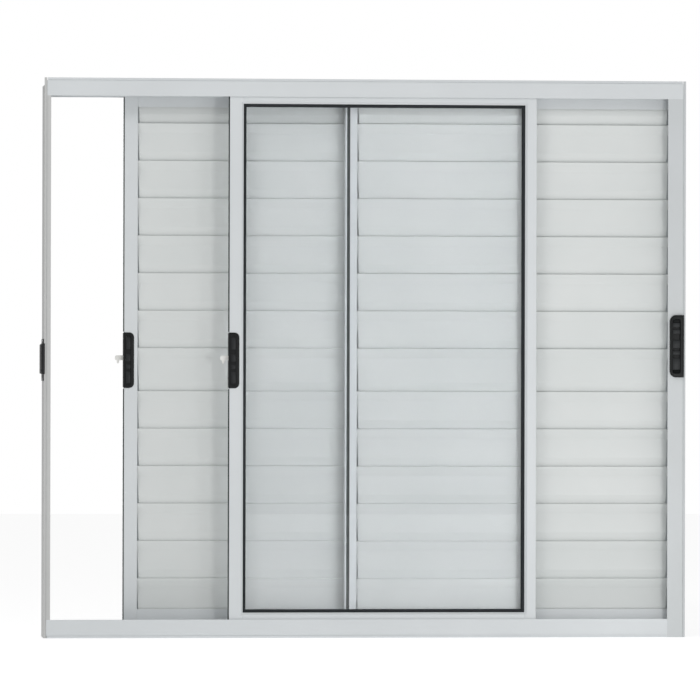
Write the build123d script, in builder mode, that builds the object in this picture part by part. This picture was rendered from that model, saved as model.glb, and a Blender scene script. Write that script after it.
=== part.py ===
from build123d import *

import os

# Three-track sliding window of white painted aluminium. A glass sash runs in the front
# (room side) track, and two louvred shutters run in the middle and rear tracks. The model
# is in millimetres: +X to the right as seen from the room, +Y out through the wall, +Z up.
# The origin is at the middle of the sill's underside.

os.makedirs("parts", exist_ok=True)

# Frame
frame_width = 1205.0
frame_height = 1044.0
frame_wall = 1.6
track_pitch = 27.4
head_face_height = 33.5
head_lap = 14.0
sill_face_height = 34.5
jamb_face_width = 12.3
closing_face_width = 33.7
edge_bead_width = 5.0
edge_bead_setback = 1.2
corner_notch = 1.2
sill_rear_height = 20.0
rail_height = 18.0
rail_thickness = 1.8
rail_bead_radius = 1.7
drain_slot_length = 30.0
drain_slot_height = 5.0
drain_slot_end = 150.0
fixing_radius = 3.25
fixing_end = 122.0
fixing_count = 4

# What every leaf has
leaf_depth = 22.0
leaf_wall = 1.4
leaf_bottom = 12.0
leaf_head_entry = 10.5
leaf_edge_round = 0.8
stile_clearance = 2.0
rail_notch_width = 8.0
rail_notch_gap = 2.0
roller_web_height = 35.0

# Glass sash
sash_face = 21.0
sash_closing_face = 26.0
sash_top_rail = 23.5
sash_bottom_rail = 35.0
sash_bevel = 4.0
glazing_depth = 6.0
glazing_width = 10.0
glazing_set_back = 4.0
gasket_reveal = 6.0
glass_thickness = 4.0
glass_cover = 8.0
sash_slide = 342.6
sash_meeting_overlap = 15.2

# Louvred shutters
shutter_face = 25.0
meeting_face = 22.5
shutter_channel = 9.6
shutter_rear_leg = 8.0
shutter_top_rail = 29.0
shutter_bottom_rail = 40.0
shutter_overlap = 74.2
left_shutter_slide = 149.2
brush_width = 5.8
brush_depth = 5.0
brush_inset = 3.0
brush_proud = 0.6
seal_proud = 1.8
seal_margin = 2.0
seal_latch_gap = 1.5

# Slats
slat_pitch = 70.2
middle_slat_extra = 10.3
slat_wall = 1.3
slat_lip_height = 20.0
slat_lip_return = 6.0
slat_slope_height = 33.0
slat_slope_depth = 10.0
slat_foot_depth = 10.5
slat_overlap = 12.0
slat_face_gap = 0.4
slat_rail_entry = 13.0
slat_entry = 9.0
slat_end_gap = 0.8
slat_end_gap_foot = 4.0
slat_first_rise = 58.0

# Rollers
roller_radius = 8.0
roller_groove = 1.0
roller_width = 6.0
roller_end = 60.0
roller_groove_width = 3.8
roller_gap = 0.1
roller_pin_radius = 1.5
roller_pin_gap = 0.1
roller_side_gap = 0.3
housing_length = 40.0
housing_height = 15.0
housing_clearance = 0.1

# Latches
latch_height = 104.0
latch_width = 19.8
latch_centre_height = 518.0
latch_flange = 1.4
latch_proud = 1.4
latch_corner = 9.0
latch_edge_corner = 1.2
latch_screw_radius = 2.1
latch_screw_offset = 33.5
latch_body_width = 11.8
latch_body_height = 96.0
latch_wall = 1.2
latch_body_gap = 0.1
latch_pocket_corner = 3.0
closing_latch_height = 117.0
closing_latch_width = 26.4
closing_latch_centre_height = 546.5
closing_latch_proud = 7.0
closing_latch_edge = 3.6
closing_latch_floor = 1.5
closing_latch_edge_round = 1.5
closing_pocket_width = 15.0
closing_pocket_height = 102.0
closing_pocket_shift = 1.2
lever_thumb_top = 11.0
lever_thumb_foot = -2.0
lever_block_top = -8.0
lever_block_foot = -16.0
lever_sink = 0.8
lever_slope = 3.0
lever_step = 2.5
lever_clearance = 0.2
hook_reach = 16.5
hook_bar = 9.0
hook_tooth = 6.0
hook_tooth_from = 3.0
hook_tooth_width = 5.0
hook_tooth_slope = 1.2
hook_thickness = 3.0
hook_root = 6.0
hook_nose = 3.0

# Keeper box outside the left jamb
keeper_height = 58.0
keeper_depth = 72.0
keeper_rise = 4.7
keeper_wall = 1.4
keeper_taper = 6.0
keeper_tab = 10.0
keeper_tab_thickness = 1.2
keeper_screw_radius = 2.0
keeper_slot_width = 9.0
keeper_slot_height = 30.0

# Places worked out from the sizes above
frame_depth = 3 * track_pitch + frame_wall
front = -frame_depth / 2
rear = frame_depth / 2
right_edge = frame_width / 2
body_half = right_edge - frame_wall
face_half = right_edge - edge_bead_width
head_face_bottom = frame_height - head_face_height
head_web_top = frame_height - head_lap
head_web_bottom = head_web_top - frame_wall
front_track = -track_pitch
middle_track = 0.0
rear_track = track_pitch
leaf_top = head_face_bottom + leaf_head_entry
closed_reach = body_half - stile_clearance
sash_face_front = front_track - leaf_depth / 2
glazing_front = front_track - glazing_width / 2 + glazing_set_back
glazing_rear = glazing_front + glazing_width
shutter_width = closed_reach + shutter_overlap / 2
sash_width = closed_reach - shutter_overlap / 2 + sash_meeting_overlap
sash_left = sash_slide - closed_reach
sash_right = sash_left + sash_width
sash_opening_left = sash_left + sash_closing_face
sash_opening_right = sash_right - sash_face
sash_opening_bottom = leaf_bottom + sash_bottom_rail
sash_opening_top = leaf_top - sash_top_rail
shutter_left_left = left_shutter_slide - closed_reach
shutter_left_right = shutter_left_left + shutter_width
shutter_right_right = closed_reach
shutter_right_left = shutter_right_right - shutter_width
roller_centre_height = rail_height + roller_radius - roller_groove + roller_gap
housing_width = leaf_depth - 2 * leaf_wall - 2 * housing_clearance
latch_body_depth = (leaf_depth - hook_thickness) / 2
latch_low = latch_centre_height - latch_height / 2
latch_high = latch_centre_height + latch_height / 2


def block(low, high, mode=Mode.ADD):
    """Add or cut a block between two opposite corners."""
    size = [abs(b - a) for a, b in zip(low, high)]
    middle = [(a + b) / 2 for a, b in zip(low, high)]
    with Locations(tuple(middle)):
        Box(*size, mode=mode)


def patch(u_from, v_from, u_to, v_to, mode=Mode.ADD):
    """Add or cut a rectangle between two opposite corners of a sketch."""
    with Locations(((u_from + u_to) / 2, (v_from + v_to) / 2)):
        Rectangle(abs(u_to - u_from), abs(v_to - v_from), mode=mode)


# Head: a face that laps the wall above, and three channels that the leaves stand in
with BuildPart() as head_track:
    with BuildSketch(Plane.YZ.offset(-face_half)):
        patch(front, head_face_bottom, front + frame_wall, frame_height - edge_bead_width)
    extrude(amount=2 * face_half)
    with BuildSketch(Plane.YZ.offset(-face_half + corner_notch)):
        patch(
            front + edge_bead_setback,
            frame_height - edge_bead_width - frame_wall,
            front + edge_bead_setback + frame_wall,
            frame_height,
        )
    extrude(amount=2 * (face_half - corner_notch))
    with BuildSketch(Plane.YZ.offset(-body_half)):
        patch(front + frame_wall, head_web_bottom, rear, head_web_top)
        patch(rear - frame_wall, head_face_bottom, rear, head_web_top)
        for rib in (-track_pitch / 2, track_pitch / 2):
            patch(rib - frame_wall / 2, head_face_bottom, rib + frame_wall / 2, head_web_top)
    extrude(amount=2 * body_half)
    for side in (-1, 1):
        block(
            (side * face_half, front, head_face_bottom),
            (side * body_half, front + edge_bead_setback + frame_wall, frame_height),
            mode=Mode.SUBTRACT,
        )
head_track.part.label = "head_track"
export_step(head_track.part, "parts/head_track.step")

# Sill: a flat base with a tall face, a low rear wall and one rail under each leaf
with BuildPart() as sill_track:
    with BuildSketch(Plane.YZ.offset(-face_half)):
        patch(front, edge_bead_width, front + frame_wall, sill_face_height)
    extrude(amount=right_edge - closing_face_width + face_half)
    with BuildSketch(Plane.YZ.offset(-face_half + corner_notch)):
        patch(
            front + edge_bead_setback,
            0,
            front + edge_bead_setback + frame_wall,
            edge_bead_width + frame_wall,
        )
    extrude(amount=right_edge - closing_face_width + face_half - corner_notch)
    with BuildSketch(Plane.YZ.offset(-body_half)):
        patch(front + edge_bead_setback + frame_wall, 0, rear, frame_wall)
        patch(rear - frame_wall, 0, rear, sill_rear_height)
        for track in (front_track, middle_track, rear_track):
            patch(
                track - rail_thickness / 2,
                0,
                track + rail_thickness / 2,
                rail_height - rail_bead_radius,
            )
            with Locations((track, rail_height - rail_bead_radius)):
                Circle(rail_bead_radius)
    extrude(amount=2 * body_half)
    with BuildSketch(Plane.XZ.offset(-rear)):
        with Locations(
            (drain_slot_end - right_edge, frame_wall + drain_slot_height),
            (right_edge - drain_slot_end, frame_wall + drain_slot_height),
        ):
            SlotOverall(drain_slot_length, drain_slot_height)
    extrude(amount=frame_wall, mode=Mode.SUBTRACT)
sill_track.part.label = "sill_track"
export_step(sill_track.part, "parts/sill_track.step")


def jamb(side, face_width, face_bottom):
    """Build the jamb on one side (-1 left, 1 right) with a face of its own width."""
    outer = side * right_edge
    inner_wall = side * body_half
    bead_inner = side * face_half
    face_inner = outer - side * face_width
    leg_inner = outer - side * jamb_face_width
    with BuildPart() as piece:
        with BuildSketch(Plane.XY):
            patch(outer, front + edge_bead_setback, inner_wall, rear)
        extrude(amount=head_web_top)
        with BuildSketch(Plane.XY):
            patch(
                outer,
                front + edge_bead_setback,
                bead_inner,
                front + edge_bead_setback + frame_wall,
            )
        extrude(amount=frame_height)
        with BuildSketch(Plane.XY.offset(face_bottom)):
            patch(bead_inner, front, face_inner, front + frame_wall)
            patch(
                bead_inner,
                front + edge_bead_setback,
                bead_inner - side * frame_wall,
                front + edge_bead_setback + frame_wall,
            )
        extrude(amount=head_face_bottom - face_bottom)
        with BuildSketch(Plane.XY.offset(sill_rear_height)):
            patch(inner_wall, rear - frame_wall, leg_inner, rear)
        extrude(amount=head_face_bottom - sill_rear_height)
        with BuildSketch(Plane.XY.offset(frame_wall)):
            for rib in (-track_pitch / 2, track_pitch / 2):
                patch(inner_wall, rib - frame_wall / 2, leg_inner, rib + frame_wall / 2)
        extrude(amount=head_face_bottom - frame_wall)
        fixing_step = (frame_height - 2 * fixing_end) / (fixing_count - 1)
        with BuildSketch(Plane.YZ.offset(min(outer, inner_wall))):
            for number in range(fixing_count):
                with Locations((0, fixing_end + number * fixing_step)):
                    Circle(fixing_radius)
        extrude(amount=frame_wall, mode=Mode.SUBTRACT)
    return piece.part


# Left jamb, with a slot in its wall for each of the two hooks that close against it
with BuildPart() as jamb_left:
    add(jamb(-1, jamb_face_width, sill_face_height))
    for track in (front_track, rear_track):
        block(
            (
                -right_edge,
                track - keeper_slot_width / 2,
                latch_centre_height - keeper_slot_height / 2,
            ),
            (
                -body_half,
                track + keeper_slot_width / 2,
                latch_centre_height + keeper_slot_height / 2,
            ),
            mode=Mode.SUBTRACT,
        )
jamb_left.part.label = "jamb_left"
export_step(jamb_left.part, "parts/jamb_left.step")

# Right jamb: its wide face runs down over the end of the sill
with BuildPart() as jamb_right:
    add(jamb(1, closing_face_width, 0.0))
jamb_right.part.label = "jamb_right"
export_step(jamb_right.part, "parts/jamb_right.step")

# Keeper box: a tapered cover, open to the jamb, with a screw tab above and below
with BuildPart() as latch_keeper:
    with BuildSketch(Plane.YZ.offset(-right_edge)):
        with Locations((0, latch_centre_height)):
            Rectangle(keeper_depth, keeper_height)
    with BuildSketch(Plane.YZ.offset(-right_edge - keeper_rise)):
        with Locations((0, latch_centre_height)):
            Rectangle(keeper_depth - keeper_taper, keeper_height - keeper_taper)
    loft()
    with BuildSketch(Plane.YZ.offset(-right_edge)):
        with Locations((0, latch_centre_height)):
            RectangleRounded(
                keeper_depth - keeper_taper, keeper_height + 2 * keeper_tab, keeper_tab / 2
            )
    extrude(amount=-keeper_tab_thickness)
    block(
        (
            -right_edge - keeper_rise + keeper_wall,
            keeper_taper - keeper_depth / 2,
            latch_centre_height + keeper_taper - keeper_height / 2,
        ),
        (
            -right_edge,
            keeper_depth / 2 - keeper_taper,
            latch_centre_height - keeper_taper + keeper_height / 2,
        ),
        mode=Mode.SUBTRACT,
    )
    with BuildSketch(Plane.YZ.offset(-right_edge)):
        for side in (-1, 1):
            with Locations(
                (0, latch_centre_height + side * (keeper_height + keeper_tab) / 2),
            ):
                Circle(keeper_screw_radius)
    extrude(amount=-keeper_tab_thickness, mode=Mode.SUBTRACT)
latch_keeper.part.label = "latch_keeper"
export_step(latch_keeper.part, "parts/latch_keeper.step")


def cut_rail_notch(x_from, x_to, track):
    """Cut the foot of a stile so that it passes over the sill's rail."""
    block(
        (min(x_from, x_to), track - rail_notch_width / 2, leaf_bottom),
        (max(x_from, x_to), track + rail_notch_width / 2, rail_height + rail_notch_gap),
        mode=Mode.SUBTRACT,
    )


def cut_latch_seat(outer, track):
    """Cut a left stile for the body of its latch and for the hook."""
    face = track - leaf_depth / 2
    body_from = outer + leaf_wall + latch_body_gap
    block(
        (body_from, face, latch_centre_height - latch_body_height / 2),
        (
            body_from + latch_body_width,
            face + leaf_wall,
            latch_centre_height + latch_body_height / 2,
        ),
        mode=Mode.SUBTRACT,
    )
    block(
        (outer, track - hook_thickness, latch_centre_height - hook_bar),
        (
            outer + leaf_wall,
            track + hook_thickness,
            latch_centre_height + hook_bar + lever_clearance,
        ),
        mode=Mode.SUBTRACT,
    )


def cut_sash_bevel():
    """Cut the sloped edge around the sash's opening, mitred at its corners."""
    middle = (
        (sash_opening_left + sash_opening_right) / 2,
        (sash_opening_bottom + sash_opening_top) / 2,
    )
    wide = sash_opening_right - sash_opening_left
    tall = sash_opening_top - sash_opening_bottom
    with BuildSketch(Plane.XZ.offset(-sash_face_front)) as wide_end:
        with Locations(middle):
            Rectangle(wide + 2 * sash_bevel, tall + 2 * sash_bevel)
    with BuildSketch(Plane.XZ.offset(-sash_face_front - sash_bevel)) as narrow_end:
        with Locations(middle):
            Rectangle(wide, tall)
    loft(sections=[wide_end.sketch, narrow_end.sketch], mode=Mode.SUBTRACT)


def sash_stile(outer, inward, face, latched):
    """Build a stile of the glass sash: a tube with a glazing pocket on its inner side."""
    inner = outer + inward * face
    pocket = inner - inward * glazing_depth
    with BuildPart() as piece:
        with BuildSketch(Plane.XY.offset(leaf_bottom)):
            patch(outer, sash_face_front, inner, front_track + leaf_depth / 2)
            fillet(vertices(), leaf_edge_round)
            patch(pocket, glazing_front, inner, glazing_rear, mode=Mode.SUBTRACT)
            patch(
                outer + inward * leaf_wall,
                sash_face_front + leaf_wall,
                pocket - inward * leaf_wall,
                front_track - leaf_wall + leaf_depth / 2,
                mode=Mode.SUBTRACT,
            )
        extrude(amount=leaf_top - leaf_bottom)
        cut_sash_bevel()
        cut_rail_notch(outer, inner, front_track)
        if latched:
            cut_latch_seat(outer, front_track)
    return piece.part


with BuildPart() as sash_stile_left:
    add(sash_stile(sash_left, 1, sash_closing_face, True))
sash_stile_left.part.label = "sash_stile_left"
export_step(sash_stile_left.part, "parts/sash_stile_left.step")

with BuildPart() as sash_stile_right:
    add(sash_stile(sash_right, -1, sash_face, False))
sash_stile_right.part.label = "sash_stile_right"
export_step(sash_stile_right.part, "parts/sash_stile_right.step")

# Rails of the glass sash, between its stiles
with BuildPart() as sash_rail_top:
    with BuildSketch(Plane.YZ.offset(sash_opening_left)):
        patch(sash_face_front, sash_opening_top, front_track + leaf_depth / 2, leaf_top)
        patch(
            glazing_front,
            sash_opening_top,
            glazing_rear,
            sash_opening_top + glazing_depth,
            mode=Mode.SUBTRACT,
        )
        patch(
            sash_face_front + leaf_wall,
            sash_opening_top + glazing_depth + leaf_wall,
            front_track - leaf_wall + leaf_depth / 2,
            leaf_top - leaf_wall,
            mode=Mode.SUBTRACT,
        )
    extrude(amount=sash_opening_right - sash_opening_left)
    cut_sash_bevel()
sash_rail_top.part.label = "sash_rail_top"
export_step(sash_rail_top.part, "parts/sash_rail_top.step")

with BuildPart() as sash_rail_bottom:
    with BuildSketch(Plane.YZ.offset(sash_opening_left)):
        patch(sash_face_front, leaf_bottom, front_track + leaf_depth / 2, sash_opening_bottom)
        patch(
            glazing_front,
            sash_opening_bottom - glazing_depth,
            glazing_rear,
            sash_opening_bottom,
            mode=Mode.SUBTRACT,
        )
        patch(
            sash_face_front + leaf_wall,
            leaf_bottom,
            front_track - leaf_wall + leaf_depth / 2,
            roller_web_height,
            mode=Mode.SUBTRACT,
        )
        patch(
            sash_face_front + leaf_wall,
            roller_web_height + leaf_wall,
            front_track - leaf_wall + leaf_depth / 2,
            sash_opening_bottom - glazing_depth - leaf_wall,
            mode=Mode.SUBTRACT,
        )
    extrude(amount=sash_opening_right - sash_opening_left)
    cut_sash_bevel()
sash_rail_bottom.part.label = "sash_rail_bottom"
export_step(sash_rail_bottom.part, "parts/sash_rail_bottom.step")

# Glass, and the rubber channel that holds it in the glazing pockets
glass_inset = gasket_reveal - glass_cover
glass_middle = (glazing_front + glazing_rear) / 2
glass_low = (
    sash_opening_left + glass_inset,
    glass_middle - glass_thickness / 2,
    sash_opening_bottom + glass_inset,
)
glass_high = (
    sash_opening_right - glass_inset,
    glass_middle + glass_thickness / 2,
    sash_opening_top - glass_inset,
)
with BuildPart() as sash_glass:
    block(glass_low, glass_high)
sash_glass.part.label = "sash_glass"
export_step(sash_glass.part, "parts/sash_glass.step")

with BuildPart() as sash_gasket:
    block(
        (
            sash_opening_left - glazing_depth,
            glazing_front,
            sash_opening_bottom - glazing_depth,
        ),
        (
            sash_opening_right + glazing_depth,
            glazing_rear,
            sash_opening_top + glazing_depth,
        ),
    )
    block(
        (
            sash_opening_left + gasket_reveal,
            glazing_front,
            sash_opening_bottom + gasket_reveal,
        ),
        (
            sash_opening_right - gasket_reveal,
            glazing_rear,
            sash_opening_top - gasket_reveal,
        ),
        mode=Mode.SUBTRACT,
    )
    block(glass_low, glass_high, mode=Mode.SUBTRACT)
sash_gasket.part.label = "sash_gasket"
export_step(sash_gasket.part, "parts/sash_gasket.step")


def shutter_stile(outer, inward, track, face, latched=False, brushed=False):
    """Build a shutter stile: a tube beside a channel that the ends of the slats stand in."""
    inner = outer + inward * face
    channel = inner - inward * shutter_channel
    with BuildPart() as piece:
        with BuildSketch(Plane.XY.offset(leaf_bottom)):
            patch(outer, track - leaf_depth / 2, inner, track + leaf_depth / 2)
            fillet(vertices(), leaf_edge_round)
            patch(
                channel,
                track + leaf_wall - leaf_depth / 2,
                inner,
                track - leaf_wall + leaf_depth / 2,
                mode=Mode.SUBTRACT,
            )
            tube_front = track + leaf_wall - leaf_depth / 2
            if brushed:
                patch(
                    outer + inward * brush_inset,
                    track - leaf_depth / 2,
                    outer + inward * (brush_inset + brush_width),
                    track - leaf_depth / 2 + brush_depth,
                    mode=Mode.SUBTRACT,
                )
                tube_front = track + leaf_wall - leaf_depth / 2 + brush_depth
            patch(
                outer + inward * leaf_wall,
                tube_front,
                channel - inward * leaf_wall,
                track - leaf_wall + leaf_depth / 2,
                mode=Mode.SUBTRACT,
            )
        extrude(amount=leaf_top - leaf_bottom)
        with BuildSketch(Plane.XY.offset(leaf_bottom + shutter_bottom_rail)):
            patch(
                inner,
                track - leaf_wall + leaf_depth / 2,
                inner + inward * shutter_rear_leg,
                track + leaf_depth / 2,
            )
        extrude(amount=leaf_top - shutter_top_rail - leaf_bottom - shutter_bottom_rail)
        cut_rail_notch(outer, inner, track)
        if latched:
            cut_latch_seat(outer, track)
    return piece.part


def shutter_rail_top(x_from, x_to, track):
    """Build the top rail of a shutter: a tube over a channel for the highest slat."""
    bottom = leaf_top - shutter_top_rail
    with BuildPart() as piece:
        with BuildSketch(Plane.YZ.offset(x_from)):
            patch(track - leaf_depth / 2, bottom, track + leaf_depth / 2, leaf_top)
            patch(
                track + leaf_wall - leaf_depth / 2,
                bottom,
                track - leaf_wall + leaf_depth / 2,
                bottom + slat_rail_entry,
                mode=Mode.SUBTRACT,
            )
            patch(
                track + leaf_wall - leaf_depth / 2,
                bottom + slat_rail_entry + leaf_wall,
                track - leaf_wall + leaf_depth / 2,
                leaf_top - leaf_wall,
                mode=Mode.SUBTRACT,
            )
        extrude(amount=x_to - x_from)
    return piece.part


def shutter_rail_bottom(x_from, x_to, track):
    """Build the bottom rail of a shutter: rollers under its web, the lowest slat over it."""
    with BuildPart() as piece:
        with BuildSketch(Plane.YZ.offset(x_from)):
            patch(
                track - leaf_depth / 2,
                leaf_bottom,
                track + leaf_depth / 2,
                leaf_bottom + shutter_bottom_rail,
            )
            patch(
                track + leaf_wall - leaf_depth / 2,
                leaf_bottom,
                track - leaf_wall + leaf_depth / 2,
                roller_web_height,
                mode=Mode.SUBTRACT,
            )
            patch(
                track + leaf_wall - leaf_depth / 2,
                roller_web_height + leaf_wall,
                track - leaf_wall + leaf_depth / 2,
                leaf_bottom + shutter_bottom_rail,
                mode=Mode.SUBTRACT,
            )
        extrude(amount=x_to - x_from)
    return piece.part


def slat_rows():
    """List the top edge and the shown height of each slat, from the lowest to the highest."""
    lowest = leaf_bottom + shutter_bottom_rail + slat_first_rise
    daylight_top = leaf_top - shutter_top_rail
    count = int((daylight_top - middle_slat_extra - lowest) // slat_pitch) + 2
    rows = []
    top = lowest
    for number in range(count):
        if number == count // 2 - 1:
            rows.append((top + middle_slat_extra, slat_pitch + middle_slat_extra))
            top += middle_slat_extra
        else:
            rows.append((top, slat_pitch))
        top += slat_pitch
    return rows


def slat(x_from, x_to, track, top, shown):
    """Build one slat: a bent strip whose upright lip stands in the stiles at both ends.

    x_from and x_to are the inner edges of the stiles. Below its lip the strip stops short
    of them, a little more the deeper it goes.
    """
    face = track + leaf_wall + slat_face_gap - leaf_depth / 2
    floor = roller_web_height + leaf_wall
    ceiling = leaf_top - shutter_top_rail + slat_rail_entry
    lip_foot = top - slat_lip_height
    slope_foot = lip_foot - slat_slope_height - (shown - slat_pitch)
    foot = top - shown - slat_overlap
    with BuildPart() as piece:
        with BuildSketch(Plane.YZ.offset(x_from - slat_entry)):
            with BuildLine():
                Polyline(
                    (face + slat_lip_return, top),
                    (face, top),
                    (face, lip_foot),
                    (face + slat_slope_depth, slope_foot),
                    (face + slat_foot_depth, foot),
                    (face + slat_foot_depth + slat_wall, foot),
                    (face + slat_slope_depth + slat_wall, slope_foot),
                    (face + slat_wall, lip_foot),
                    (face + slat_wall, top - slat_wall),
                    (face + slat_lip_return, top - slat_wall),
                    close=True,
                )
            make_face()
            if top > ceiling:
                patch(face, ceiling, face + leaf_depth, top, mode=Mode.SUBTRACT)
            if foot < floor:
                patch(face, foot, face + leaf_depth, floor, mode=Mode.SUBTRACT)
        extrude(amount=x_to - x_from + 2 * slat_entry)
        with BuildSketch(Plane.XZ.offset(-track - leaf_depth)):
            for edge, side in ((x_from, 1), (x_to, -1)):
                with BuildLine():
                    Polyline(
                        (edge - side * slat_entry, lip_foot),
                        (edge + side * slat_end_gap, lip_foot),
                        (edge + side * slat_end_gap_foot, foot),
                        (edge - side * slat_entry, foot),
                        close=True,
                    )
                make_face()
        extrude(amount=2 * leaf_depth, mode=Mode.SUBTRACT)
    return piece.part


def slats(x_from, x_to, track):
    """Build the slats of one shutter, each lapping behind the lip of the next one down."""
    with BuildPart() as piece:
        for top, shown in slat_rows():
            add(slat(x_from, x_to, track, top, shown))
    return piece.part


def rollers(x_from, x_to, track):
    """Build the two grooved rollers that carry a leaf, each turned with its own pin."""
    pin_reach = housing_width / 2 - leaf_wall
    with BuildPart() as piece:
        for centre in (x_from + roller_end, x_to - roller_end):
            middle = (centre, track, roller_centre_height)
            with BuildSketch(Plane(origin=middle, x_dir=(0, 1, 0), z_dir=(1, 0, 0))):
                patch(-roller_width / 2, 0, roller_width / 2, roller_radius)
                patch(
                    -roller_groove_width / 2,
                    roller_radius - roller_groove,
                    roller_groove_width / 2,
                    roller_radius,
                    mode=Mode.SUBTRACT,
                )
                patch(-pin_reach, 0, pin_reach, roller_pin_radius)
            revolve(axis=Axis(middle, (0, 1, 0)))
    return piece.part


def roller_housings(x_from, x_to, track):
    """Build the two blocks that hold the rollers under the web of a bottom rail."""
    foot = roller_web_height - housing_height
    with BuildPart() as piece:
        for centre in (x_from + roller_end, x_to - roller_end):
            block(
                (centre - housing_length / 2, track - housing_width / 2, foot),
                (centre + housing_length / 2, track + housing_width / 2, roller_web_height),
            )
            block(
                (
                    centre - roller_radius - roller_side_gap,
                    track - roller_width / 2 - roller_side_gap,
                    foot,
                ),
                (
                    centre + roller_radius + roller_side_gap,
                    track + roller_width / 2 + roller_side_gap,
                    roller_web_height,
                ),
                mode=Mode.SUBTRACT,
            )
            with BuildSketch(Plane.XZ.offset(-track - housing_width / 2)):
                with Locations((centre, roller_centre_height)):
                    Circle(roller_pin_radius + roller_pin_gap)
            extrude(amount=housing_width, mode=Mode.SUBTRACT)
    return piece.part


def pocket_plate(x_from, x_to, centre, height, round_side):
    """Sketch a latch plate with two large corners on one side and two small on the other."""
    patch(x_from, centre - height / 2, x_to, centre + height / 2)
    corners = vertices().sort_by(Axis.X)
    round_corners, edge_corners = (corners[2:], corners[:2])
    if round_side < 0:
        round_corners, edge_corners = (corners[:2], corners[2:])
    fillet(round_corners, latch_corner)
    fillet(edge_corners, latch_edge_corner)


def latch_shell(outer, track):
    """Build a let-in latch: a plate on the stile's face, its side flange and a pocket."""
    face = track - leaf_depth / 2
    plate_left = outer - latch_flange
    body_middle = outer + leaf_wall + latch_body_gap + latch_body_width / 2
    with BuildPart() as piece:
        with BuildSketch(Plane.XZ.offset(-face)):
            pocket_plate(plate_left, plate_left + latch_width, latch_centre_height, latch_height, 1)
        extrude(amount=latch_proud)
        block(
            (plate_left, face, latch_low + latch_edge_corner),
            (outer, face + leaf_depth, latch_high - latch_edge_corner),
        )
        with BuildSketch(Plane.YZ.offset(plate_left)):
            for side in (-1, 1):
                with Locations((track, latch_centre_height + side * latch_screw_offset)):
                    Circle(latch_screw_radius)
            patch(
                track - hook_thickness,
                latch_centre_height - hook_bar,
                track + hook_thickness,
                latch_centre_height + hook_bar + lever_clearance,
            )
        extrude(amount=latch_flange, mode=Mode.SUBTRACT)
        with BuildSketch(Plane.XZ.offset(-face)):
            with Locations((body_middle, latch_centre_height)):
                Rectangle(latch_body_width, latch_body_height)
        extrude(amount=-latch_body_depth)
        with BuildSketch(Plane.XZ.offset(latch_proud - face)):
            with Locations((body_middle, latch_centre_height)):
                RectangleRounded(
                    latch_body_width - 2 * latch_wall,
                    latch_body_height - 2 * latch_wall,
                    latch_pocket_corner,
                )
        extrude(amount=latch_wall - latch_proud - latch_body_depth, mode=Mode.SUBTRACT)
    return piece.part


def latch_lever(x_middle, width, centre, y_floor, y_top):
    """Build the slider in a latch's pocket: a thumb block, a groove and a lower block."""
    groove = y_top + lever_step
    with BuildPart() as piece:
        with BuildSketch(Plane.YZ.offset(x_middle - width / 2)):
            with BuildLine():
                Polyline(
                    (y_floor, centre + lever_block_foot),
                    (y_top + lever_step, centre + lever_block_foot),
                    (y_top, centre + lever_block_foot + lever_step),
                    (y_top, centre + lever_block_top),
                    (groove, centre + lever_block_top),
                    (groove, centre + lever_thumb_foot),
                    (y_top, centre + lever_thumb_foot),
                    (y_top, centre + lever_thumb_top - lever_slope),
                    (y_top + lever_slope, centre + lever_thumb_top),
                    (y_floor, centre + lever_thumb_top),
                    close=True,
                )
            make_face()
        extrude(amount=width)
    return piece.part


def latch_hook(outer, track):
    """Build the hook that stands out of the stile's edge, with its tooth turned down."""
    tip = outer - hook_reach
    tooth = tip + hook_tooth_from
    root = outer + leaf_wall + hook_root
    with BuildPart() as piece:
        with BuildSketch(Plane.XZ.offset(-track - hook_thickness / 2)):
            with BuildLine():
                Polyline(
                    (root, latch_centre_height),
                    (root, latch_centre_height + hook_bar),
                    (tip + hook_nose, latch_centre_height + hook_bar),
                    (tip, latch_centre_height + hook_bar - hook_nose),
                    (tip, latch_centre_height + hook_nose / 2),
                    (tooth, latch_centre_height),
                    (tooth + hook_tooth_slope, latch_centre_height - hook_tooth),
                    (
                        tooth + hook_tooth_width - hook_tooth_slope,
                        latch_centre_height - hook_tooth,
                    ),
                    (tooth + hook_tooth_width, latch_centre_height),
                    close=True,
                )
            make_face()
        extrude(amount=hook_thickness)
    return piece.part


# The two shutters: stiles, rails and slats
shutters = {
    "shutter_left": (shutter_left_left, shutter_left_right, rear_track, shutter_face, meeting_face),
    "shutter_right": (
        shutter_right_left,
        shutter_right_right,
        middle_track,
        meeting_face,
        shutter_face,
    ),
}
for name, (x_left, x_right, track, left_face, right_face) in shutters.items():
    latched = name == "shutter_left"
    with BuildPart() as stile_left:
        add(shutter_stile(x_left, 1, track, left_face, latched=latched, brushed=not latched))
    stile_left.part.label = f"{name}_stile_left"
    export_step(stile_left.part, f"parts/{name}_stile_left.step")

    with BuildPart() as stile_right:
        add(shutter_stile(x_right, -1, track, right_face))
    stile_right.part.label = f"{name}_stile_right"
    export_step(stile_right.part, f"parts/{name}_stile_right.step")

    rail_left = x_left + left_face
    rail_right = x_right - right_face
    with BuildPart() as rail_top:
        add(shutter_rail_top(rail_left, rail_right, track))
    rail_top.part.label = f"{name}_rail_top"
    export_step(rail_top.part, f"parts/{name}_rail_top.step")

    with BuildPart() as rail_bottom:
        add(shutter_rail_bottom(rail_left, rail_right, track))
    rail_bottom.part.label = f"{name}_rail_bottom"
    export_step(rail_bottom.part, f"parts/{name}_rail_bottom.step")

    with BuildPart() as slat_set:
        add(slats(rail_left, rail_right, track))
    slat_set.part.label = f"{name}_slats"
    export_step(slat_set.part, f"parts/{name}_slats.step")

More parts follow.
